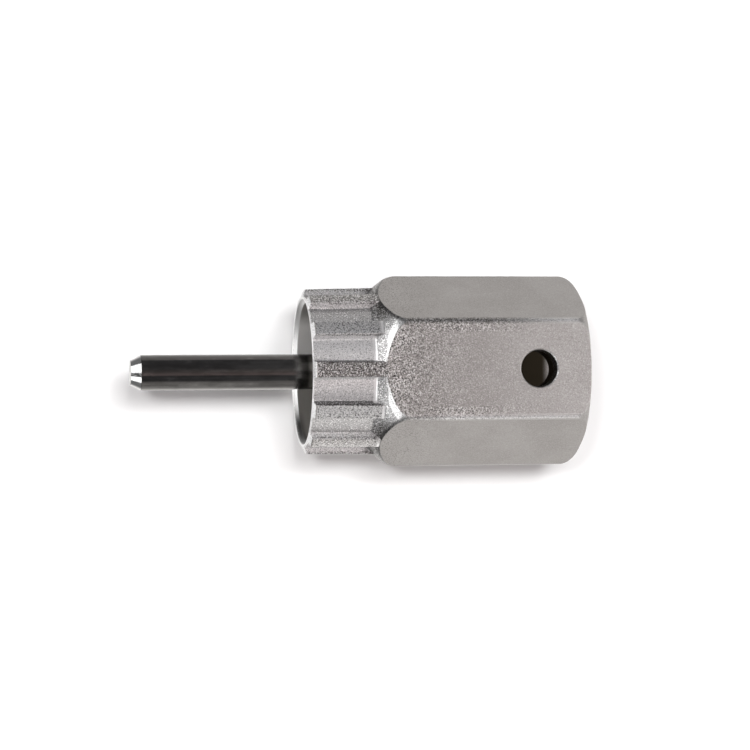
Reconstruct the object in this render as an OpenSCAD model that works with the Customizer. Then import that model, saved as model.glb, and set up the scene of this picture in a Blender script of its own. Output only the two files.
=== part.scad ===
// Cassette lockring tool: a splined cup, a 24 mm wrench hexagon and a guide pin on one axis.
// The tool lies on a flat of its hexagon. Its axis is X, with the guide pin towards -X.
// The origin is on the axis, in the plane of the cup's rim.

/* [Spline] */
// Number of teeth round the cup
tooth_count = 12; // [6:1:14]
// Diameter over the teeth at the rim
spline_d = 23.4; // [23:0.1:24]
// Height of a tooth above the valley beside it
tooth_h = 1; // [0.5:0.05:1.3]
// Width of a tooth across its outer face
tooth_w = 2.1; // [1.2:0.1:3]
// Angle that each flank of a tooth leans outwards towards its foot
tooth_flank_angle = 12; // [0:1:25]
// Radius of the fillet along the foot of each tooth
tooth_foot_r = 0.3; // [0.1:0.05:0.5]
// Angle by which the nose of each tooth leans back from the rim
tooth_nose_angle = 22; // [0:1:30]
// Radius that rounds the upper edge of each nose
tooth_nose_r = 0.3; // [0.1:0.05:0.8]
// Length from the rim to the foot of the shoulder
spline_len = 8.8; // [6:0.5:14]
// Draft angle by which the spline grows towards the shoulder
draft_angle = 1; // [0:0.25:2]

/* [Cup] */
// Diameter of the hollow in the cup
cup_d = 19.6; // [15:0.1:20]
// Depth of the hollow, from the rim to its floor
cup_depth = 13; // [8:0.5:16]
// Width of the chamfer inside the rim
cup_chamfer = 0.6; // [0.2:0.05:0.8]
// Radius of the corner round the floor of the hollow
cup_floor_r = 1.2; // [0.4:0.1:3]

/* [Hexagon] */
// Width of the wrench hexagon across its flats
hex_af = 23.8; // [23.8:0.1:30]
// Radius of the hexagon's long corners
hex_corner_r = 1; // [0.3:0.1:3]
// Length from the foot of the shoulder to the end face
hex_len = 30.5; // [26:0.5:50]
// Angle between the shoulder's cone and the axis
shoulder_angle = 38; // [25:1:55]
// Radius of the crest where the shoulder's cone runs out on the corners
shoulder_crest_r = 3.5; // [1:0.5:5]
// Radius of the fillet at the foot of the shoulder
shoulder_foot_r = 1; // [0.4:0.1:2]
// Radius of the turned rounding at the end face
end_round_r = 2; // [0.5:0.1:3]

/* [Drive socket] */
// Width of the square socket, for a half inch drive
drive_w = 12.8; // [9.6:0.1:13.2]
// Depth of the square socket
drive_depth = 16; // [10:0.5:17]
// Diameter of the pilot hole that the square was cut from
drive_pilot_d = 13.1; // [9:0.1:15]
// Depth of the pilot hole behind the floor of the square
drive_pilot_extra = 0.5; // [0.2:0.1:1]
// Width of the cone that leads into the socket, beside a flat of the square
drive_mouth = 1.6; // [0.5:0.1:2]
// Diameter of the cross hole that takes the drive's ball
ball_hole_d = 5.2; // [3:0.1:7]
// Distance from the end face to the centre of the cross hole
ball_hole_back = 7.5; // [6:0.1:9]
// Width of the broken edge at the mouth of the cross hole
ball_hole_edge = 0.15; // [0.05:0.05:0.5]

/* [Guide pin] */
// Diameter of the guide pin
pin_d = 5; // [4.2:0.1:8]
// Length of the guide pin in front of the rim
pin_reach = 24.4; // [10:0.1:60]
// Length of the taper at the pin's tip
pin_tip_len = 1.45; // [0.5:0.05:3]
// Diameter of the flat face at the pin's tip
pin_tip_d = 3.5; // [1:0.1:4]
// Diameter of the shank that is pressed into the web
pin_shank_d = 4; // [2:0.1:4]
// Width of the chamfer at the shank's end
pin_shank_chamfer = 0.4; // [0.1:0.1:0.8]
// Space left in the pin's blind hole behind the shank
pin_hole_spare = 0.6; // [0.2:0.1:1]
// Thickness of web left between the pin's hole and the drive socket
web_left = 1.8; // [1.2:0.1:2.5]

/* [Hidden] */
$fn = 96;

OVERCUT = 1;
HEX_HALF_ANGLE = 30;

body_len = spline_len + hex_len;
tooth_pitch = 360 / tooth_count;

rim_tip_r = spline_d / 2;
rim_root_r = rim_tip_r - tooth_h;
foot_root_r = rim_root_r + spline_len * tan(draft_angle);

hex_side = hex_af * tan(HEX_HALF_ANGLE);
hex_flat_w = hex_side - 2 * hex_corner_r * tan(HEX_HALF_ANGLE);
hex_corner_centre = (hex_af / 2 - hex_corner_r) / cos(HEX_HALF_ANGLE);
hex_corner_reach = hex_corner_centre + hex_corner_r;

// The shoulder's cone meets the corners' radius here, before its crest is rounded
crest_s = spline_len + (hex_corner_reach - foot_root_r) / tan(shoulder_angle);
crest_tangent = shoulder_crest_r * tan(shoulder_angle / 2);
foot_tangent = shoulder_foot_r * tan((shoulder_angle - draft_angle) / 2);

// The teeth end just inside the shoulder's cone
tooth_end_s = spline_len + tooth_h / tan(shoulder_angle) + tooth_nose_r;
tooth_end_r = rim_tip_r + tooth_end_s * tan(draft_angle);

socket_floor_s = body_len - drive_depth;
web_len = socket_floor_s - drive_pilot_extra - cup_depth;
pin_hole_depth = web_len - web_left;
pin_shank_len = pin_hole_depth - pin_hole_spare;

// Stands a shape drawn round Z, with its rim at zero, along the tool's axis
module along_axis() {
  rotate([0, 90, 0]) children();
}

// Half section of the body's turned outside, as radius and distance from the rim
module turned_section() {
  foot = [foot_root_r, spline_len];
  foot_low = foot - foot_tangent * [sin(draft_angle), cos(draft_angle)];
  foot_high = foot + foot_tangent * [sin(shoulder_angle), cos(shoulder_angle)];
  foot_centre = foot_low + shoulder_foot_r * [cos(draft_angle), -sin(draft_angle)];
  crest = [hex_corner_reach, crest_s];
  crest_low = crest - crest_tangent * [sin(shoulder_angle), cos(shoulder_angle)];
  crest_high = crest + [0, crest_tangent];
  difference() {
    union() {
      polygon([
        [0, 0], [rim_root_r, 0], foot_low, foot_high, crest_low, crest_high,
        [hex_corner_reach, body_len - end_round_r],
        [hex_corner_reach - end_round_r, body_len], [0, body_len]
      ]);
      translate(crest_high - [shoulder_crest_r, 0]) circle(shoulder_crest_r);
      translate([hex_corner_reach - end_round_r, body_len - end_round_r]) circle(end_round_r);
    }
    translate(foot_centre) circle(shoulder_foot_r);
  }
}

// Outline of the hexagon with rounded corners, one flat facing each way along X
module hexagon_outline() {
  for (a = [0, 60, 120]) rotate(a) square([hex_af, hex_flat_w], center = true);
  for (a = [0:60:300]) {
    rotate(a + HEX_HALF_ANGLE) translate([hex_corner_centre, 0]) circle(hex_corner_r);
  }
}

// Cross section of one tooth pointing along X, with a fillet where it leaves the valley
module tooth_outline() {
  lean = [-cos(tooth_flank_angle), sin(tooth_flank_angle)];
  out = [sin(tooth_flank_angle), cos(tooth_flank_angle)];
  tip = [rim_tip_r, tooth_w / 2];
  offset_tip = tip + tooth_foot_r * out;
  centre_r = rim_root_r + tooth_foot_r;
  along = offset_tip * lean;
  run = -along - sqrt(along * along - offset_tip * offset_tip + centre_r * centre_r);
  centre = offset_tip + run * lean;
  flank = centre - tooth_foot_r * out;
  valley = centre * rim_root_r / centre_r;
  outer = tip - OVERCUT * lean;
  inner = valley * (rim_root_r - tooth_h) / rim_root_r;
  mirrored = [for (p = [inner, valley, flank, outer]) [p[0], -p[1]]];
  difference() {
    polygon(concat([outer, flank, valley, inner], mirrored));
    translate(centre) circle(tooth_foot_r, $fn = 48);
    translate([centre[0], -centre[1]]) circle(tooth_foot_r, $fn = 48);
  }
}

// Half section of the surface that the tops and noses of the teeth lie on, with the edge between rounded
module tooth_top_section() {
  nose_s = tooth_h * tan(tooth_nose_angle) / (1 - tan(draft_angle) * tan(tooth_nose_angle));
  edge = [rim_tip_r + nose_s * tan(draft_angle), nose_s];
  tangent = tooth_nose_r / tan((90 + draft_angle + tooth_nose_angle) / 2);
  top_start = edge + tangent * [sin(draft_angle), cos(draft_angle)];
  union() {
    polygon([
      [0, 0], [rim_root_r, 0],
      edge - tangent * [cos(tooth_nose_angle), sin(tooth_nose_angle)],
      top_start, [tooth_end_r, tooth_end_s], [0, tooth_end_s]
    ]);
    translate(top_start - tooth_nose_r * [cos(draft_angle), -sin(draft_angle)]) circle(tooth_nose_r);
  }
}

module spline_teeth() {
  intersection() {
    rotate_extrude() tooth_top_section();
    for (i = [0:tooth_count - 1]) {
      rotate(180 + i * tooth_pitch) linear_extrude(tooth_end_s) tooth_outline();
    }
  }
}

// Hollow of the cup, with its rim chamfer and rounded floor corner
module cup_hollow() {
  cup_r = cup_d / 2;
  rotate_extrude() {
    union() {
      polygon([
        [0, -OVERCUT], [cup_r + cup_chamfer + OVERCUT, -OVERCUT], [cup_r, cup_chamfer],
        [cup_r, cup_depth - cup_floor_r], [cup_r - cup_floor_r, cup_depth], [0, cup_depth]
      ]);
      translate([cup_r - cup_floor_r, cup_depth - cup_floor_r]) circle(cup_floor_r);
    }
  }
}

// Square socket with the round pilot hole that it was cut from and the cone at its mouth
module drive_socket() {
  mouth_r = drive_w / 2 + drive_mouth;
  translate([0, 0, socket_floor_s]) {
    translate([-drive_w / 2, -drive_w / 2, 0]) cube([drive_w, drive_w, drive_depth + OVERCUT]);
  }
  translate([0, 0, socket_floor_s - drive_pilot_extra]) {
    cylinder(d = drive_pilot_d, h = drive_depth + drive_pilot_extra + OVERCUT);
  }
  translate([0, 0, body_len - mouth_r]) {
    cylinder(r1 = 0, r2 = mouth_r + OVERCUT, h = mouth_r + OVERCUT);
  }
}

// Cross hole through the upper wall of the socket, with its edge broken
module ball_hole() {
  hole_r = ball_hole_d / 2;
  edge_r = hole_r + ball_hole_edge;
  translate([body_len - ball_hole_back, 0, 0]) {
    cylinder(r = hole_r, h = hex_af / 2 + OVERCUT);
    translate([0, 0, hex_af / 2 - ball_hole_edge]) {
      cylinder(r1 = hole_r, r2 = edge_r + OVERCUT, h = ball_hole_edge + OVERCUT);
    }
  }
}

module body() {
  color([0.62, 0.62, 0.61]) {
    difference() {
      along_axis() {
        difference() {
          intersection() {
            union() {
              rotate_extrude() turned_section();
              spline_teeth();
            }
            linear_extrude(body_len) hexagon_outline();
          }
          cup_hollow();
          drive_socket();
          translate([0, 0, cup_depth - OVERCUT]) {
            cylinder(d = pin_shank_d, h = pin_hole_depth + OVERCUT);
          }
        }
      }
      ball_hole();
    }
  }
}

// One turned pin with a smaller shank, its shoulder seated on the floor of the cup
module guide_pin() {
  pin_r = pin_d / 2;
  shank_r = pin_shank_d / 2;
  shank_end = cup_depth + pin_shank_len;
  color([0.27, 0.25, 0.25]) {
    along_axis() {
      rotate_extrude() {
        polygon([
          [0, -pin_reach], [pin_tip_d / 2, -pin_reach], [pin_r, pin_tip_len - pin_reach],
          [pin_r, cup_depth], [shank_r, cup_depth], [shank_r, shank_end - pin_shank_chamfer],
          [shank_r - pin_shank_chamfer, shank_end], [0, shank_end]
        ]);
      }
    }
  }
}

body();
guide_pin();
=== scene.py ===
import math
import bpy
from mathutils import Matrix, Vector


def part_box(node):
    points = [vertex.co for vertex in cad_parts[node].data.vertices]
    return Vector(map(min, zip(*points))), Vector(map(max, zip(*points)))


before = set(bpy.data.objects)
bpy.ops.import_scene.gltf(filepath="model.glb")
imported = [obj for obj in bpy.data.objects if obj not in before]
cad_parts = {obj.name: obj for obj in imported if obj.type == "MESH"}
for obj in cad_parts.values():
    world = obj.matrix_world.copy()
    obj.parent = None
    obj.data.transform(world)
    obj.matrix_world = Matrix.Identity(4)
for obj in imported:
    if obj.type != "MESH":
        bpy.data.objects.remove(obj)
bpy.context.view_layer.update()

from types import SimpleNamespace

import bpy
from mathutils import Matrix, Vector

scene = bpy.context.scene
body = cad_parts["body"]
guide_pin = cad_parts["guide_pin"]

# The scene is in metres. The materials count distances in millimetres: along the axis from the rim of
# the cup, out from the axis, to the far side (+Y) and up.
MM = 0.001
BODY_LOW, BODY_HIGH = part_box("body")
TABLE_Z = BODY_LOW.z
DRIVE_END = BODY_HIGH.x / MM
CORNER_RADIUS = BODY_HIGH.y / MM
FLAT_HEIGHT = BODY_HIGH.z / MM
PIN_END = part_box("guide_pin")[0].x / MM

# Camera, as fitted to the photograph: its lean to the left and to the front, its roll and its scale
PHOTO_PIXELS = 750
SENSOR_WIDTH_MM = 36
CAMERA_DISTANCE = 0.350
CAMERA_TO_LEFT = math.radians(9.88)
CAMERA_TO_FRONT = math.radians(1.22)
CAMERA_ROLL = math.radians(-0.59)
CAMERA_TARGET = Vector((0.01051, -0.00053, 0.0))
PIXELS_PER_METRE = 6999
CLIP_START = 0.01
CLIP_END = 20


def make_camera():
    """The photograph's camera: above and beyond the pin's tip, looking down and a little to the right."""
    back = Vector((-math.tan(CAMERA_TO_LEFT), -math.tan(CAMERA_TO_FRONT), 1)).normalized()
    level_right = Vector((0, 1, 0)).cross(back).normalized()
    level_up = back.cross(level_right)
    turn = Matrix.Rotation(CAMERA_ROLL, 3, back)
    axes = Matrix((turn @ level_right, turn @ level_up, back)).transposed()
    data = bpy.data.cameras.new("camera")
    data.sensor_width = SENSOR_WIDTH_MM
    data.lens = PIXELS_PER_METRE * CAMERA_DISTANCE / PHOTO_PIXELS * SENSOR_WIDTH_MM
    data.clip_start = CLIP_START
    data.clip_end = CLIP_END
    camera = bpy.data.objects.new("camera", data)
    scene.collection.objects.link(camera)
    camera.matrix_world = Matrix.Translation(CAMERA_TARGET + CAMERA_DISTANCE * back) @ axes.to_4x4()
    scene.camera = camera


class Nodes:
    """Short calls that add and link the nodes of one material or world."""

    def __init__(self, tree):
        self.tree = tree
        tree.nodes.clear()

    def add(self, kind, inputs=None, **settings):
        """Adds a node with its settings, then sets or links its inputs."""
        node = self.tree.nodes.new(kind)
        for name, value in settings.items():
            setattr(node, name, value)
        for name, value in (inputs or {}).items():
            self.put(node.inputs[name], value)
        return node

    def put(self, socket, value):
        """Links value to the socket if it is a socket, and sets it otherwise."""
        if isinstance(value, bpy.types.NodeSocket):
            self.tree.links.new(value, socket)
        else:
            socket.default_value = value

    def math(self, operation, *values):
        """The result of an operation on numbers."""
        return self.add("ShaderNodeMath", dict(enumerate(values)), operation=operation).outputs[0]

    def vector(self, operation, *values):
        """The result of an operation on vectors, which is a number for a dot product."""
        node = self.add("ShaderNodeVectorMath", dict(enumerate(values)), operation=operation)
        return node.outputs["Value" if operation == "DOT_PRODUCT" else "Vector"]

    def split(self, vector):
        """The three parts of a vector."""
        return self.add("ShaderNodeSeparateXYZ", {0: vector}).outputs

    def ramp(self, value, band, first, last):
        """Goes smoothly from first at the band's low end to last at its high end."""
        low, high = band
        inputs = {"Value": value, "From Min": low, "From Max": high, "To Min": first, "To Max": last}
        node = self.add("ShaderNodeMapRange", inputs, interpolation_type="SMOOTHSTEP", clamp=True)
        return node.outputs["Result"]

    def rise(self, value, band, top=1.0):
        """Nothing below the band and top above it."""
        return self.ramp(value, band, 0.0, top)

    def fall(self, value, band, top=1.0):
        """Top below the band and nothing above it."""
        return self.ramp(value, band, top, 0.0)

    def both(self, *masks):
        """Where all the masks are. A number among them is a share of all the others."""
        product = masks[0]
        for mask in masks[1:]:
            product = self.math("MULTIPLY", product, mask)
        return product

    def either(self, *masks):
        """Where any of the masks is."""
        most = masks[0]
        for mask in masks[1:]:
            most = self.math("MAXIMUM", most, mask)
        return most

    def noise(self, vector, size_mm, detail=2.0, roughness=0.5):
        """Noise whose blobs are about size_mm across."""
        inputs = {"Vector": vector, "Scale": 1 / (size_mm * MM), "Detail": detail, "Roughness": roughness}
        return self.add("ShaderNodeTexNoise", inputs).outputs["Fac"]

    def mix(self, share, first, second, kind="RGBA"):
        """A colour that goes from first to second as share goes from 0 to 1."""
        inputs = {"Factor": share, "A": first, "B": second}
        return self.add("ShaderNodeMix", inputs, data_type=kind).outputs["Result"]

    def blend(self, share, first, second):
        """A number that goes from first to second as share goes from 0 to 1."""
        return self.mix(share, first, second, kind="FLOAT")

    def layer(self, colour, layers):
        """The colour under layers of other colours, each with the share that it shows."""
        for share, upper in layers:
            colour = self.mix(share, colour, upper)
        return colour


def new_material(name):
    """An empty material and its nodes."""
    material = bpy.data.materials.new(name)
    material.use_nodes = True
    return material, Nodes(material.node_tree)


def finish_metal(nodes, colour, roughness, normal):
    """Ends a material as bare metal."""
    inputs = {"Metallic": 1.0, "Base Color": colour, "Roughness": roughness, "Normal": normal}
    shader = nodes.add("ShaderNodeBsdfPrincipled", inputs)
    nodes.add("ShaderNodeOutputMaterial", {"Surface": shader.outputs[0]})


def find_place(nodes):
    """Where a point lies: as a point in metres, and its distances in millimetres."""
    point = nodes.add("ShaderNodeTexCoord").outputs["Object"]
    x, y, z = nodes.split(point)
    square = nodes.math("ADD", nodes.math("MULTIPLY", y, y), nodes.math("MULTIPLY", z, z))
    return SimpleNamespace(
        point=point,
        along=nodes.math("DIVIDE", x, MM),
        out=nodes.math("DIVIDE", nodes.math("SQRT", square), MM),
        far=nodes.math("DIVIDE", y, MM),
        up=nodes.math("DIVIDE", z, MM),
    )


ACROSS_AXIS = (0, 1, 1)


def find_facing(nodes, point):
    """How far the surface turns to each side, from -1 to 1, or from 0 to 1 for sideways and upright."""
    normal = nodes.add("ShaderNodeNewGeometry").outputs["Normal"]
    x, y, z = nodes.split(normal)
    outward = nodes.vector("NORMALIZE", nodes.vector("MULTIPLY", point, ACROSS_AXIS))
    return SimpleNamespace(
        rim=nodes.math("MULTIPLY", x, -1.0),
        far=y,
        up=z,
        out=nodes.vector("DOT_PRODUCT", outward, normal),
        sideways=nodes.math("ABSOLUTE", y),
        upright=nodes.math("ABSOLUTE", z),
    )


# Bands of the teeth: OUT is out from the axis, END and START along it, and TURN how the surface faces
TOOTH_OUT = (11.3, 11.55)
TOOTH_END = (9.9, 10.2)
TOOTH_LEAN_TURN = (0.1, 0.3)
TOOTH_TOP_TURN = (0.2, 0.4)
TOOTH_SIDE_TURN = (0.6, 0.8)
NEAR_TOOTH_TURN = (-0.93, -0.8)
FAR_TOOTH_TURN = (0.7, 0.82)
# Where the ends of the side teeth get a painted highlight
TOOTH_END_HIGHLIGHT_START = (9.55, 9.8)
FLANK_OUT = (10.7, 10.9)
FLANK_START = (0.1, 0.3)
FLANK_END = (8.2, 9.2)
FLANK_TURN = (0.45, 0.85)
LIT_UP_TURN = (0.75, 0.88)
LIT_NEAR_TURN = (-0.3, 0.3)
NOSE_OUT = (10.65, 10.8)
NOSE_END = (0.45, 0.55)
NOSE_TURN = (0.6, 0.8)
SPLINE_END = (11.4, 13.4)


def tooth_masks(nodes, place, facing):
    """The tops of the teeth by the way they face, and their ends, flanks and noses, which get painted
    highlights and painted shade.
    """
    tooth = nodes.both(
        nodes.rise(place.out, TOOTH_OUT),
        nodes.fall(place.along, TOOTH_END),
        nodes.fall(facing.rim, TOOTH_LEAN_TURN),
    )
    slanting = nodes.both(
        tooth, nodes.rise(facing.sideways, TOOTH_TOP_TURN), nodes.fall(facing.sideways, TOOTH_SIDE_TURN)
    )
    near_tooth = nodes.both(tooth, nodes.fall(facing.far, NEAR_TOOTH_TURN))
    side_tooth = nodes.either(slanting, near_tooth)
    flank = nodes.both(
        nodes.fall(facing.out, FLANK_TURN),
        nodes.rise(place.out, FLANK_OUT),
        nodes.rise(place.along, FLANK_START),
        nodes.fall(place.along, FLANK_END),
    )
    lit = nodes.either(nodes.rise(facing.up, LIT_UP_TURN), nodes.fall(facing.far, LIT_NEAR_TURN))
    lit_flank = nodes.both(flank, lit)
    return dict(
        tooth=tooth,
        near_tooth=near_tooth,
        side_tooth=side_tooth,
        far_tooth=nodes.both(tooth, nodes.rise(facing.far, FAR_TOOTH_TURN)),
        top_tooth=nodes.both(tooth, nodes.fall(facing.sideways, TOOTH_TOP_TURN)),
        worn_end=nodes.both(side_tooth, nodes.rise(place.along, TOOTH_END_HIGHLIGHT_START)),
        lit_flank=lit_flank,
        dark_flank=nodes.math("SUBTRACT", flank, lit_flank),
        nose=nodes.both(
            nodes.rise(facing.rim, NOSE_TURN),
            nodes.rise(place.out, NOSE_OUT),
            nodes.fall(place.along, NOSE_END),
        ),
        spline=nodes.both(nodes.fall(place.along, SPLINE_END), nodes.fall(place.out, TOOTH_OUT)),
    )


# Bands of the cup: OUT is out from the axis, and END along it
CUP_OUT = (9.92, 10.45)
CUP_END = (17, 18)
MOUTH_END = (0.58, 0.63)
RIM_OUT = (10.65, 10.8)
RIM_END = (0.02, 0.12)
RIM_EDGE_INNER_OUT = (10.45, 10.55)
RIM_EDGE_OUTER_OUT = (10.9, 11.0)
RIM_EDGE_END = (0.14, 0.24)


def cup_masks(nodes, place):
    """The turned steel of the cup's inside and rim, the chamfer of its mouth, and the rim's outer edge."""
    inside = nodes.both(nodes.fall(place.out, CUP_OUT), nodes.fall(place.along, CUP_END))
    rim = nodes.both(nodes.fall(place.along, RIM_END), nodes.fall(place.out, RIM_OUT))
    return dict(
        rim=rim,
        turned=nodes.either(inside, rim),
        mouth=nodes.both(inside, nodes.fall(place.along, MOUTH_END)),
        rim_edge=nodes.both(
            nodes.fall(place.along, RIM_EDGE_END),
            nodes.rise(place.out, RIM_EDGE_INNER_OUT),
            nodes.fall(place.out, RIM_EDGE_OUTER_OUT),
        ),
    )


# Bands of the shoulder: START and END are along the axis, and TURN how the surface faces
SHOULDER_START = (8.4, 8.8)
SHOULDER_TURN = (0.12, 0.35)
CONE_TURN = (0.55, 0.70)
CREST_START = (9.4, 9.8)
CREST_LOW_TURN = (0.0, 0.03)
CREST_HIGH_TURN = (0.12, 0.3)
CREST_SIDE_TURN = (0.55, 0.75)
FOOT_START = (8.45, 8.55)
FOOT_END = (8.95, 9.05)
FOOT_OUT = (11.2, 11.4)
FOOT_HEIGHT = (8.6, 9.6)
HEXAGON_TURN = math.radians(30)
SIDE_ARC_HEIGHT = (FLAT_HEIGHT - 0.45, FLAT_HEIGHT - 0.15)

# The cone's painted highlight along its edge reaches lower towards the flat's corners, and has a gap at the
# flat's middle
CONE_HIGHLIGHT_WIDTH = (2.5, 5.5)
CONE_HIGHLIGHT_MIDDLE_HEIGHT = FLAT_HEIGHT - 0.3
CONE_HIGHLIGHT_CORNER_HEIGHT = FLAT_HEIGHT - 0.85
CONE_HIGHLIGHT_FADE = (0.0, 0.2)
CONE_HIGHLIGHT_GAP = (0.6, 2.6)


def shoulder_masks(nodes, place, facing):
    """The shoulder's cone above and at the sides, its edge with a painted highlight, the arcs and crest over
    it with painted shade, and its foot with a painted highlight.
    """
    shoulder = nodes.both(nodes.rise(place.along, SHOULDER_START), nodes.rise(facing.rim, SHOULDER_TURN))
    cone = nodes.both(shoulder, nodes.rise(facing.upright, CONE_TURN))
    width = nodes.math("ABSOLUTE", place.far)
    height = nodes.math("ABSOLUTE", place.up)
    side_height = nodes.math(
        "ADD",
        nodes.math("MULTIPLY", width, math.cos(HEXAGON_TURN)),
        nodes.math("MULTIPLY", height, math.sin(HEXAGON_TURN)),
    )
    cone_highlight_height = nodes.ramp(width, CONE_HIGHLIGHT_WIDTH, CONE_HIGHLIGHT_MIDDLE_HEIGHT, CONE_HIGHLIGHT_CORNER_HEIGHT)
    above_edge = nodes.math("SUBTRACT", height, cone_highlight_height)
    return dict(
        shoulder=shoulder,
        cone=cone,
        side_cone=nodes.both(shoulder, nodes.fall(facing.upright, CONE_TURN)),
        cone_edge=nodes.both(
            cone, nodes.rise(width, CONE_HIGHLIGHT_GAP), nodes.rise(above_edge, CONE_HIGHLIGHT_FADE)
        ),
        side_arc=nodes.both(shoulder, nodes.rise(side_height, SIDE_ARC_HEIGHT)),
        crest=nodes.both(
            nodes.rise(place.along, CREST_START),
            nodes.rise(facing.rim, CREST_LOW_TURN),
            nodes.fall(facing.rim, CREST_HIGH_TURN),
            nodes.fall(facing.upright, CREST_SIDE_TURN),
        ),
        foot=nodes.both(
            nodes.rise(place.along, FOOT_START),
            nodes.fall(place.along, FOOT_END),
            nodes.fall(place.out, FOOT_OUT),
            nodes.rise(height, FOOT_HEIGHT),
        ),
    )


# Bands of the hexagon and the drive socket: OUT is out from the axis, and START and END along it
HEXAGON_OUT = (11.55, 11.75)
FLAT_TURN = (0.52, 0.70)
FLAT_LEAN_TURN = (0.15, 0.35)
CORNER_BAND_OUT = (CORNER_RADIUS - 0.74, CORNER_RADIUS - 0.49)
CORNER_EDGE_OUT = (CORNER_RADIUS - 0.15, CORNER_RADIUS - 0.10)
CORNER_LINE_OUT = (CORNER_RADIUS - 0.055, CORNER_RADIUS - 0.005)
SOCKET_OUT = (9.2, 9.5)
SOCKET_START = (20, 21)
SOCKET_END = (DRIVE_END - 2.8, DRIVE_END - 1.3)


def hexagon_masks(nodes, place, facing):
    """The hexagon, its upper and lower flats, its corners from wide to fine, and the socket's inside."""
    return dict(
        hexagon=nodes.rise(place.out, HEXAGON_OUT),
        flat=nodes.both(nodes.rise(facing.upright, FLAT_TURN), nodes.fall(facing.rim, FLAT_LEAN_TURN)),
        corner_band=nodes.rise(place.out, CORNER_BAND_OUT),
        corner_edge=nodes.rise(place.out, CORNER_EDGE_OUT),
        corner_line=nodes.rise(place.out, CORNER_LINE_OUT),
        socket=nodes.both(
            nodes.fall(place.out, SOCKET_OUT),
            nodes.rise(place.along, SOCKET_START),
            nodes.fall(place.along, SOCKET_END),
        ),
    )


def body_masks(nodes, place):
    """Every part of the body's surface that looks different, from 0 to 1."""
    facing = find_facing(nodes, place.point)
    masks = SimpleNamespace(
        **tooth_masks(nodes, place, facing),
        **cup_masks(nodes, place),
        **shoulder_masks(nodes, place, facing),
        **hexagon_masks(nodes, place, facing),
    )
    masks.clean = nodes.either(masks.spline, masks.cone)
    return masks


# Blasted grain: its noises, and where it gets finer along the axis
PATCHES = dict(size_mm=6, detail=3)
PATCH_BAND = (0.25, 0.75)
PATCH_SHARES = (0.75, 1.25)
GRIT = dict(size_mm=0.21, roughness=0.7)
DUST = dict(size_mm=0.15, roughness=0.6)
GRIT_IN_DUST = 0.45
COARSE_ALONG = (8.4, 25)
CORNER_COARSE_ALONG = (20, 33)
CORNER_COARSE_SHARE = 0.8


def blasted_grain(nodes, place, masks):
    """The grain's height, how coarse it is, and the patches in which it lies."""
    patches = nodes.noise(place.point, **PATCHES)
    corner = nodes.both(
        masks.corner_band, nodes.fall(place.along, CORNER_COARSE_ALONG, CORNER_COARSE_SHARE)
    )
    near_shoulder = nodes.either(nodes.fall(place.along, COARSE_ALONG), corner)
    on_flat = nodes.both(
        masks.hexagon, masks.flat, near_shoulder, nodes.ramp(patches, PATCH_BAND, *PATCH_SHARES)
    )
    coarse = nodes.either(masks.tooth, on_flat, masks.side_cone)
    grit = nodes.noise(place.point, **GRIT)
    dust = nodes.noise(place.point, **DUST)
    fine = nodes.blend(GRIT_IN_DUST, dust, grit)
    return SimpleNamespace(height=nodes.blend(coarse, fine, grit), coarse=coarse, patches=patches)


# Pits and peaks: the bands of the grain's height, and the share of each that shows
PIT_HEIGHT = (0.38, 0.48)
PEAK_HEIGHT = (0.54, 0.61)
SIDE_PITS_ALONG = (11, 20)
SIDE_PITS_NEAR_SHOULDER = 0.4
SIDE_PITS = 0.16
FLAT_PITS = 0.22
SPLINE_PITS = 0.55
CONE_PITS = 0.8
TOOTH_PITS = 0.92
SIDE_TOOTH_PITS = 0.85
NEAR_TOOTH_PITS = 0.75
# Painted shade on the crest, and on the flanks that face neither up nor to the near side
CREST_PAINTED_SHADE = 0.8
FLANK_PAINTED_SHADE = 0.7
SIDE_PEAKS = 0.12
FLAT_PEAKS = 0.25
CLEAN_PEAKS = 1.0
COARSE_PEAKS = 0.75


def show_pits(nodes, place, masks, grain):
    """The share of dark pits, with painted shade on the crest and the dark flanks."""
    near_shoulder = nodes.both(
        masks.hexagon, nodes.fall(place.along, SIDE_PITS_ALONG, SIDE_PITS_NEAR_SHOULDER)
    )
    plain = nodes.blend(masks.flat, nodes.math("ADD", near_shoulder, SIDE_PITS), FLAT_PITS)
    fine = nodes.blend(masks.cone, nodes.blend(masks.clean, plain, SPLINE_PITS), CONE_PITS)
    coarse = nodes.blend(masks.side_tooth, TOOTH_PITS, SIDE_TOOTH_PITS)
    coarse = nodes.blend(masks.near_tooth, coarse, NEAR_TOOTH_PITS)
    pits = nodes.both(nodes.fall(grain.height, PIT_HEIGHT), nodes.blend(grain.coarse, fine, coarse))
    return nodes.either(
        pits, nodes.both(masks.crest, CREST_PAINTED_SHADE), nodes.both(masks.dark_flank, FLANK_PAINTED_SHADE)
    )


def show_peaks(nodes, masks, grain):
    """The share of bright peaks."""
    fine = nodes.blend(masks.clean, nodes.blend(masks.flat, SIDE_PEAKS, FLAT_PEAKS), CLEAN_PEAKS)
    return nodes.both(nodes.rise(grain.height, PEAK_HEIGHT), nodes.blend(grain.coarse, fine, COARSE_PEAKS))


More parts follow.
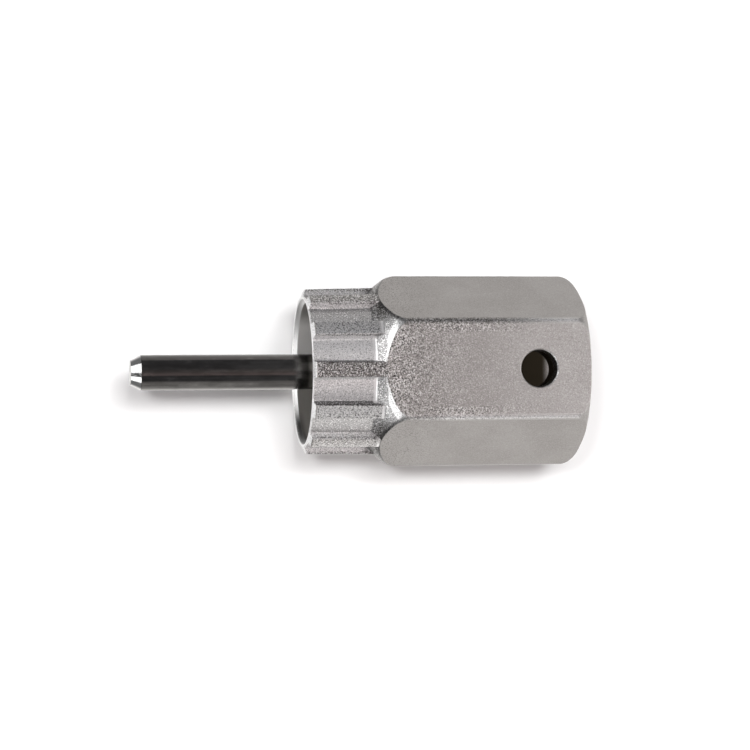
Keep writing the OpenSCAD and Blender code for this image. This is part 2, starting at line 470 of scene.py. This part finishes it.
# Colours of the body's steel, of which the pits' and peaks' colours also serve for painted shade, painted
# sheen and painted highlights
PLATING = (0.325, 0.31, 0.30, 1)
CLEAN_PLATING = (0.68, 0.67, 0.67, 1)
CLEAN_PAINTED_LIGHT = (0.84, 0.83, 0.83, 1)
CLEAN_PAINTED_SHADE_FARTHEST = (0.48, 0.47, 0.47, 1)
CLEAN_PAINTED_SHADE_NEAREST = (0.52, 0.51, 0.51, 1)
CONE_PLATING = (0.32, 0.315, 0.315, 1)
PITS_AND_PAINTED_SHADE = (0.03, 0.029, 0.028, 1)
PEAKS_AND_PAINTED_SHEEN = (0.85, 0.84, 0.84, 1)
BRIGHT_PEAKS_AND_HIGHLIGHTS = (1.0, 0.99, 0.99, 1)
PAINTED_LIGHT_TURNED = (0.95, 0.94, 0.93, 1)
DULL_TURNED = (0.44, 0.425, 0.40, 1)
FAR_TURNED = (0.36, 0.35, 0.34, 1)
DARK_TURNED = (0.08, 0.077, 0.075, 1)
BRIGHT_EDGE = (0.8, 0.795, 0.79, 1)
SOCKET_PAINTED_SHADE = (0.052, 0.042, 0.029, 1)

# Plating: where its colours change towards the far side, as painted light and shade, and the share of each
# film over it: a haze, a painted sheen and painted shade
CLEAN_FAR_SIDE = (0.0, 3)
CLEAN_FARTHEST_SIDE = (4, 8)
CLEAN_NEAREST_SIDE = (-8, -5.5)
HAZE_PATCHES = (0.35, 0.65)
HAZE = 0.06
END_PAINTED_SHEEN_ALONG = (25, 33)
END_PAINTED_SHEEN = 0.07
SIDE_CONE_PAINTED_SHADE = 0.45
TOOTH_PAINTED_SHADE = 0.4


def plating_layers(nodes, place, masks, grain):
    """The plating's cleaner places with painted light and shade, its haze, painted sheen and painted shade,
    and its pits and peaks.
    """
    # The cleaner plating, with painted light from the middle towards the far side, and painted shade at the
    # farthest and the nearest sides
    clean_plating_with_painted_light = nodes.layer(
        CLEAN_PLATING,
        [
            (nodes.rise(place.far, CLEAN_FAR_SIDE), CLEAN_PAINTED_LIGHT),
            (nodes.rise(place.far, CLEAN_FARTHEST_SIDE), CLEAN_PAINTED_SHADE_FARTHEST),
            (nodes.fall(place.far, CLEAN_NEAREST_SIDE), CLEAN_PAINTED_SHADE_NEAREST),
        ],
    )
    shaded_tooth = nodes.either(masks.top_tooth, masks.far_tooth)
    peak_colour = nodes.mix(masks.clean, PEAKS_AND_PAINTED_SHEEN, BRIGHT_PEAKS_AND_HIGHLIGHTS)
    return [
        # The spline and the cone take the cleaner plating, and the teeth that face sideways or to the near
        # side take it as painted light
        (nodes.either(masks.clean, masks.side_tooth), clean_plating_with_painted_light),
        (masks.cone, CONE_PLATING),
        (nodes.both(masks.hexagon, nodes.rise(grain.patches, HAZE_PATCHES, HAZE)), PEAKS_AND_PAINTED_SHEEN),
        # Painted sheen on the flats towards the drive end
        (nodes.both(masks.flat, nodes.rise(place.along, END_PAINTED_SHEEN_ALONG, END_PAINTED_SHEEN)), PEAKS_AND_PAINTED_SHEEN),
        # Painted shade on the cone's sides
        (nodes.both(masks.side_cone, SIDE_CONE_PAINTED_SHADE), PITS_AND_PAINTED_SHADE),
        # Painted shade on the teeth that face up, down or to the far side
        (nodes.both(shaded_tooth, TOOTH_PAINTED_SHADE), PITS_AND_PAINTED_SHADE),
        (show_pits(nodes, place, masks, grain), PITS_AND_PAINTED_SHADE),
        (show_peaks(nodes, masks, grain), peak_colour),
    ]


# Painted highlights and painted shade: the band of the grain's height that speckles each highlight, and its
# share below and above the band
CONE_EDGE_SPECKLES = ((0.36, 0.58), 0.15, 0.9)
RIM_EDGE_SPECKLES = ((0.35, 0.5), 0.3, 1.0)
FLANK_SPECKLES = ((0.35, 0.55), 0.05, 0.45)
NOSE_SPECKLES = ((0.38, 0.52), 0.2, 1.0)
# Painted highlight on the shoulder's foot
FOOT_HIGHLIGHT = 0.8
SIDE_ARC_PAINTED_SHADE = 0.7


def painted_light_layers(nodes, masks, grain):
    """Painted highlights of bright metal at the cone's and the rim's edges, the tooth ends, the foot, the lit
    flanks and the noses, and painted shade in the side arcs.
    """
    painted_highlights = nodes.either(
        nodes.both(masks.cone_edge, nodes.ramp(grain.height, *CONE_EDGE_SPECKLES)),
        nodes.both(masks.rim_edge, nodes.ramp(grain.height, *RIM_EDGE_SPECKLES)),
        masks.worn_end,
        nodes.both(masks.foot, FOOT_HIGHLIGHT),
    )
    return [
        (painted_highlights, BRIGHT_PEAKS_AND_HIGHLIGHTS),
        (nodes.both(masks.lit_flank, nodes.ramp(grain.height, *FLANK_SPECKLES)), BRIGHT_PEAKS_AND_HIGHLIGHTS),
        # Painted shade in the side arcs
        (nodes.both(masks.side_arc, SIDE_ARC_PAINTED_SHADE), PITS_AND_PAINTED_SHADE),
        (nodes.both(masks.nose, nodes.ramp(grain.height, *NOSE_SPECKLES)), BRIGHT_PEAKS_AND_HIGHLIGHTS),
    ]


# The hexagon's corners, with a painted highlight line and painted shade: bands in millimetres, speckles as
# for the painted highlights, and shares
MIDDLE_SIDE = (-1, 1)
CORNER_LINE_SPECKLES = ((0.35, 0.6), 0.3, 1.0)
CORNER_EDGE_SHARE = 0.22
CORNER_END = (37, 38.5)
NEAR_LINE_ALONG = (14, 20)
NEAR_LINE_SHARES = (0.2, 0.9)
FAR_LINE_ALONG = (24, 36)
FAR_PAINTED_SHADE_END = (28, 36)
FAR_PAINTED_SHADE_SPECKLES = ((0.35, 0.6), 0.6, 0.1)
SIDE_PAINTED_SHADE_HEIGHT = (1, 2)
SIDE_PAINTED_SHADE = 0.3


def corner_layers(nodes, place, masks, grain):
    """A painted highlight line on the upper and lower corners, with painted shade by the far one and on the
    side ones.
    """
    far_side = nodes.rise(place.far, MIDDLE_SIDE)
    near_side = nodes.fall(place.far, MIDDLE_SIDE)
    line = nodes.either(
        nodes.both(masks.corner_line, nodes.ramp(grain.height, *CORNER_LINE_SPECKLES)),
        nodes.both(masks.corner_edge, CORNER_EDGE_SHARE),
    )
    line = nodes.both(line, nodes.fall(place.along, CORNER_END))
    near_line = nodes.both(line, near_side, nodes.ramp(place.along, NEAR_LINE_ALONG, *NEAR_LINE_SHARES))
    far_line = nodes.both(line, far_side, nodes.rise(place.along, FAR_LINE_ALONG))
    far_painted_shade = nodes.both(
        masks.corner_edge,
        far_side,
        nodes.fall(place.along, FAR_PAINTED_SHADE_END),
        nodes.ramp(grain.height, *FAR_PAINTED_SHADE_SPECKLES),
    )
    height = nodes.math("ABSOLUTE", place.up)
    side_painted_shade = nodes.both(masks.corner_edge, nodes.fall(height, SIDE_PAINTED_SHADE_HEIGHT, SIDE_PAINTED_SHADE))
    return [
        (far_painted_shade, PITS_AND_PAINTED_SHADE),
        (nodes.either(near_line, far_line), PEAKS_AND_PAINTED_SHEEN),
        (side_painted_shade, PITS_AND_PAINTED_SHADE),
    ]


# Turned steel: bands to the far side and along the axis for its painted light and shade, and the share of the
# painted shade
PAINTED_LIGHT_SIDE = (-2, 3.5)
FAR_TURNED_SIDE = (6.5, 9)
SHADE_SIDE = (-8, -4.5)
SHADE_ALONG = (0.7, 1.6)
SHADE_SHARE = 0.7
MOUTH_SIDE = (-7.5, -5)


def cup_layers(nodes, place, masks):
    """The turned inside, with painted light from its middle to the far side and painted shade at its farthest
    side and at its near side by the mouth, then the mouth and the rim.
    """
    shade = nodes.both(
        nodes.fall(place.along, SHADE_ALONG, SHADE_SHARE), nodes.fall(place.far, SHADE_SIDE)
    )
    inside = nodes.layer(
        DULL_TURNED,
        [
            (nodes.rise(place.far, PAINTED_LIGHT_SIDE), PAINTED_LIGHT_TURNED),
            (shade, DARK_TURNED),
            (nodes.rise(place.far, FAR_TURNED_SIDE), FAR_TURNED),
        ],
    )
    # Painted shade on the near side of the mouth's chamfer
    mouth = nodes.mix(nodes.rise(place.far, MOUTH_SIDE), DARK_TURNED, BRIGHT_EDGE)
    return [(masks.turned, inside), (masks.mouth, mouth), (masks.rim, BRIGHT_PEAKS_AND_HIGHLIGHTS)]


# Roughness of the body's steel, and its relief, with lengths in millimetres
FINE_ROUGHNESS = 0.46
COARSE_ROUGHNESS = 0.42
SHOULDER_ROUGHNESS = 0.36
TURNED_ROUGHNESS = 0.55
MOUTH_ROUGHNESS = 0.42
SOCKET_ROUGHNESS = 0.8
TURNING_MARKS_PER_MM = 9
BUMP_DISTANCE = 0.05
FINE_BUMP = 0.55
COARSE_BUMP = 1.0
TURNED_BUMP = 0.08
EDGE_ROUNDING = 0.22
EDGE_SAMPLES = 6


def body_roughness(nodes, masks, grain):
    """Satin steel, duller where it is turned and dullest in the socket."""
    roughness = nodes.blend(grain.coarse, FINE_ROUGHNESS, COARSE_ROUGHNESS)
    for mask, value in (
        (masks.shoulder, SHOULDER_ROUGHNESS),
        (masks.turned, TURNED_ROUGHNESS),
        (masks.mouth, MOUTH_ROUGHNESS),
        (masks.socket, SOCKET_ROUGHNESS),
    ):
        roughness = nodes.blend(mask, roughness, value)
    return roughness


def body_normal(nodes, place, masks, grain):
    """Softened edges with the blasted grain on them, or fine turning marks in the cup."""
    rings = nodes.add("ShaderNodeCombineXYZ", {0: place.along, 1: place.out}).outputs[0]
    marks = nodes.add("ShaderNodeTexNoise", {"Vector": rings, "Scale": TURNING_MARKS_PER_MM}).outputs["Fac"]
    edge = nodes.add("ShaderNodeBevel", {"Radius": EDGE_ROUNDING * MM}, samples=EDGE_SAMPLES)
    strength = nodes.blend(masks.turned, nodes.blend(grain.coarse, FINE_BUMP, COARSE_BUMP), TURNED_BUMP)
    inputs = {
        "Distance": BUMP_DISTANCE * MM,
        "Strength": strength,
        "Height": nodes.blend(masks.turned, grain.height, marks),
        "Normal": edge.outputs[0],
    }
    return nodes.add("ShaderNodeBump", inputs).outputs[0]


def make_body_steel():
    """Satin plating over a blasted forging, with painted highlights and painted shade, a turned cup and a
    socket in painted shade.
    """
    material, nodes = new_material("body_steel")
    place = find_place(nodes)
    masks = body_masks(nodes, place)
    grain = blasted_grain(nodes, place, masks)
    layers = [
        *plating_layers(nodes, place, masks, grain),
        *painted_light_layers(nodes, masks, grain),
        *corner_layers(nodes, place, masks, grain),
        *cup_layers(nodes, place, masks),
        # Painted shade, dark brown, in the socket's inside
        (masks.socket, SOCKET_PAINTED_SHADE),
    ]
    colour = nodes.layer(PLATING, layers)
    roughness = body_roughness(nodes, masks, grain)
    finish_metal(nodes, colour, roughness, body_normal(nodes, place, masks, grain))
    return material


# Colours of the pin's steel
PIN_STEEL = (0.125, 0.121, 0.117, 1)
PIN_DARK = (0.08, 0.076, 0.075, 1)
PIN_STAIN = (0.05, 0.048, 0.045, 1)
PIN_CLEAN = (0.2, 0.195, 0.19, 1)
PIN_IN_CUP_PAINTED_SHEEN = (0.55, 0.54, 0.52, 1)
PIN_TIP_STEEL = (0.8, 0.8, 0.8, 1)
PIN_END_STEEL = (0.3, 0.3, 0.3, 1)

# Pin: its noises, how much its lines and stains are drawn out along it, and its bands and shares
LINE_STRETCH = (0.03, 1, 1)
LINES = dict(size_mm=1.2)
LINE_BAND = (0.42, 0.62)
STAIN_STRETCH = (0.35, 1, 1)
STAINS = dict(size_mm=1.0, detail=4, roughness=0.65)
STAIN_BAND = (0.45, 0.62)
STAIN_SHARE = 0.45
WIPED_BAND = (0.3, 0.42)
WIPED_SHARE = 0.35
SPECKS = dict(size_mm=0.5, detail=4, roughness=0.7)
SPECK_BAND = (0.35, 0.7)
SPECK_ROUGHNESS = (0.12, 0.2)
SPECK_BUMP = 0.4
SPECK_BUMP_DISTANCE = 0.004
IN_CUP_START = (0.4, 1.1)
IN_CUP_END = (3, 5)
IN_CUP_UP = (0.5, 1.5)
IN_CUP_SHARE = 0.85
TIP_ALONG = (PIN_END + 1.39, PIN_END + 1.45)
END_FACE_ALONG = (PIN_END + 0.02, PIN_END + 0.05)


def make_pin_steel():
    """Dark polished steel with faint lines and stains along the pin, a painted sheen on its upper side inside
    the cup, and a bare chamfer at its tip.
    """
    material, nodes = new_material("pin_steel")
    place = find_place(nodes)
    lines = nodes.noise(nodes.vector("MULTIPLY", place.point, LINE_STRETCH), **LINES)
    stains = nodes.noise(nodes.vector("MULTIPLY", place.point, STAIN_STRETCH), **STAINS)
    specks = nodes.noise(place.point, **SPECKS)
    # Painted sheen on the pin's upper side where it lies inside the cup
    painted_sheen_in_cup = nodes.both(
        nodes.rise(place.along, IN_CUP_START),
        nodes.fall(place.along, IN_CUP_END),
        nodes.rise(place.up, IN_CUP_UP, IN_CUP_SHARE),
    )
    layers = [
        (nodes.rise(lines, LINE_BAND), PIN_DARK),
        (nodes.rise(stains, STAIN_BAND, STAIN_SHARE), PIN_STAIN),
        (nodes.fall(stains, WIPED_BAND, WIPED_SHARE), PIN_CLEAN),
        (painted_sheen_in_cup, PIN_IN_CUP_PAINTED_SHEEN),
        (nodes.fall(place.along, TIP_ALONG), PIN_TIP_STEEL),
        (nodes.fall(place.along, END_FACE_ALONG), PIN_END_STEEL),
    ]
    roughness = nodes.ramp(specks, SPECK_BAND, *SPECK_ROUGHNESS)
    bump = nodes.add(
        "ShaderNodeBump", {"Distance": SPECK_BUMP_DISTANCE * MM, "Strength": SPECK_BUMP, "Height": specks}
    )
    finish_metal(nodes, nodes.layer(PIN_STEEL, layers), roughness, bump.outputs[0])
    return material


def dress(node, material):
    """Gives a CAD node its material."""
    node.data.materials.clear()
    node.data.materials.append(material)


# Table
TABLE_HALF = 3.0
TABLE_COLOUR = (0.91, 0.91, 0.91, 1)
TABLE_ROUGHNESS = 0.9
TABLE_GLOSS = 0.1


def make_table():
    """A plain white table under the tool, which the metal doesn't reflect."""
    mesh = bpy.data.meshes.new("table")
    corners = [(-1, -1), (1, -1), (1, 1), (-1, 1)]
    mesh.from_pydata([(x * TABLE_HALF, y * TABLE_HALF, TABLE_Z) for x, y in corners], [], [(0, 1, 2, 3)])
    table = bpy.data.objects.new("table", mesh)
    scene.collection.objects.link(table)
    material = bpy.data.materials.new("table")
    material.use_nodes = True
    shader = material.node_tree.nodes["Principled BSDF"]
    shader.inputs["Base Color"].default_value = TABLE_COLOUR
    shader.inputs["Roughness"].default_value = TABLE_ROUGHNESS
    shader.inputs["Specular IOR Level"].default_value = TABLE_GLOSS
    mesh.materials.append(material)
    table.visible_glossy = False


# World: its colours by direction, which show mostly as reflections in the metal
HORIZON = (1.12, 1.1, 1.08, 1)
LIT_TABLE = (1.6, 1.56, 1.52, 1)
LEFT_SHADE = (0.15, 0.15, 0.15, 1)
LEFT_TABLE = (0.9, 0.9, 0.9, 1)
LEFT_WALL = (0.06, 0.06, 0.06, 1)
UPPER_WALLS = (0.25, 0.25, 0.26, 1)
CEILING = (0.46, 0.42, 0.41, 1)
CEILING_NEAR = (0.80, 0.66, 0.65, 1)

# Directions in the world: X is to the right, Y to the far side and Z up, each from -1 to 1
LEFT_WALL_X = (-0.65, -0.35)
LEFT_GLOW_X = (-0.45, -0.05)
NEAR_TO_FAR_Y = (-0.5, 0.5)
CEILING_START_Y = (-0.39, -0.33)
CEILING_END_Y = (0.0, 0.45)
CEILING_CHANGE_Y = (-0.3, 0.1)
LIT_TABLE_START_Z = (-0.92, -0.82)
LIT_TABLE_END_Z = (-0.65, -0.57)
LEFT_TABLE_Z = (-0.12, 0.02)
LEFT_TABLE_SIDE = (0.3, 0.5)

# The glow's top is higher at the near side than at the far side: where it starts and ends at each
GLOW_TOP_START_Z = (0.34, -0.05)
GLOW_TOP_END_Z = (0.56, 0.1)


def make_world():
    """Bright round the horizon, dark to the left and dim overhead."""
    world = bpy.data.worlds.new("studio")
    world.use_nodes = True
    scene.world = world
    nodes = Nodes(world.node_tree)
    x, y, z = nodes.split(nodes.add("ShaderNodeTexCoord").outputs["Generated"])
    overhead = nodes.both(
        nodes.rise(y, CEILING_START_Y), nodes.fall(y, CEILING_END_Y), nodes.rise(x, LEFT_WALL_X)
    )
    ceiling = nodes.mix(nodes.rise(y, CEILING_CHANGE_Y), CEILING_NEAR, CEILING)
    walls = nodes.mix(nodes.rise(x, LEFT_WALL_X), LEFT_WALL, UPPER_WALLS)
    above = nodes.mix(overhead, walls, ceiling)
    lit_table = nodes.both(nodes.rise(z, LIT_TABLE_START_Z), nodes.fall(z, LIT_TABLE_END_Z))
    near = nodes.mix(lit_table, HORIZON, LIT_TABLE)
    right = nodes.mix(nodes.rise(y, NEAR_TO_FAR_Y), near, HORIZON)
    left_table = nodes.both(
        nodes.fall(z, LEFT_TABLE_Z), nodes.fall(nodes.math("ABSOLUTE", y), LEFT_TABLE_SIDE)
    )
    left = nodes.mix(left_table, LEFT_SHADE, LEFT_TABLE)
    below = nodes.mix(nodes.rise(x, LEFT_GLOW_X), left, right)
    glow_top = (
        nodes.ramp(y, NEAR_TO_FAR_Y, *GLOW_TOP_START_Z),
        nodes.ramp(y, NEAR_TO_FAR_Y, *GLOW_TOP_END_Z),
    )
    colour = nodes.mix(nodes.rise(z, glow_top), below, above)
    background = nodes.add("ShaderNodeBackground", {"Color": colour})
    nodes.add("ShaderNodeOutputWorld", {"Surface": background.outputs[0]})


# Lights: azimuth from +X towards +Y and elevation in degrees, distance and size in metres, and radiance
TABLE_LIGHTS = {
    "fill": (90, 88, 1.0, (1.0, 1.0), 0.45),
    "key": (86, 80, 1.0, (0.26, 0.26), 20),
    "left_key": (160, 71, 1.0, (0.13, 0.13), 56),
    "right_key": (50, 74, 1.0, (0.14, 0.14), 28),
}
METAL_LIGHTS = {
    "left_softbox": (155, 24, 0.7, (0.54, 0.45), 1.8),
    "left_near_softbox": (224, 24, 0.7, (0.30, 0.45), 1.8),
    "left_low_strip": (180, 9, 0.7, (1.3, 0.12), 3.5),
    "left_strip": (180, 49, 0.7, (0.55, 0.10), 5.5),
    "right_softbox": (0, 45, 0.7, (0.5, 0.5), 3.2),
}


def make_light(name, azimuth, elevation, distance, size, radiance):
    """A soft rectangular light that faces the tool."""
    turn = math.radians(azimuth)
    rise = math.radians(elevation)
    aim = Vector((math.cos(turn) * math.cos(rise), math.sin(turn) * math.cos(rise), math.sin(rise)))
    data = bpy.data.lights.new(name, "AREA")
    data.shape = "RECTANGLE"
    data.size, data.size_y = size
    data.energy = math.pi * size[0] * size[1] * radiance
    light = bpy.data.objects.new(name, data)
    scene.collection.objects.link(light)
    light.matrix_world = Matrix.Translation(aim * distance) @ aim.to_track_quat("Z", "Y").to_matrix().to_4x4()
    return light


def make_lights():
    """Lights for the table, which the metal doesn't reflect, and lights that only show as reflections."""
    for name, settings in TABLE_LIGHTS.items():
        make_light(name, *settings).visible_glossy = False
    for name, settings in METAL_LIGHTS.items():
        make_light(name, *settings).visible_diffuse = False


make_camera()
dress(body, make_body_steel())
dress(guide_pin, make_pin_steel())
make_table()
make_world()
make_lights()
scene.view_settings.view_transform = "Standard"
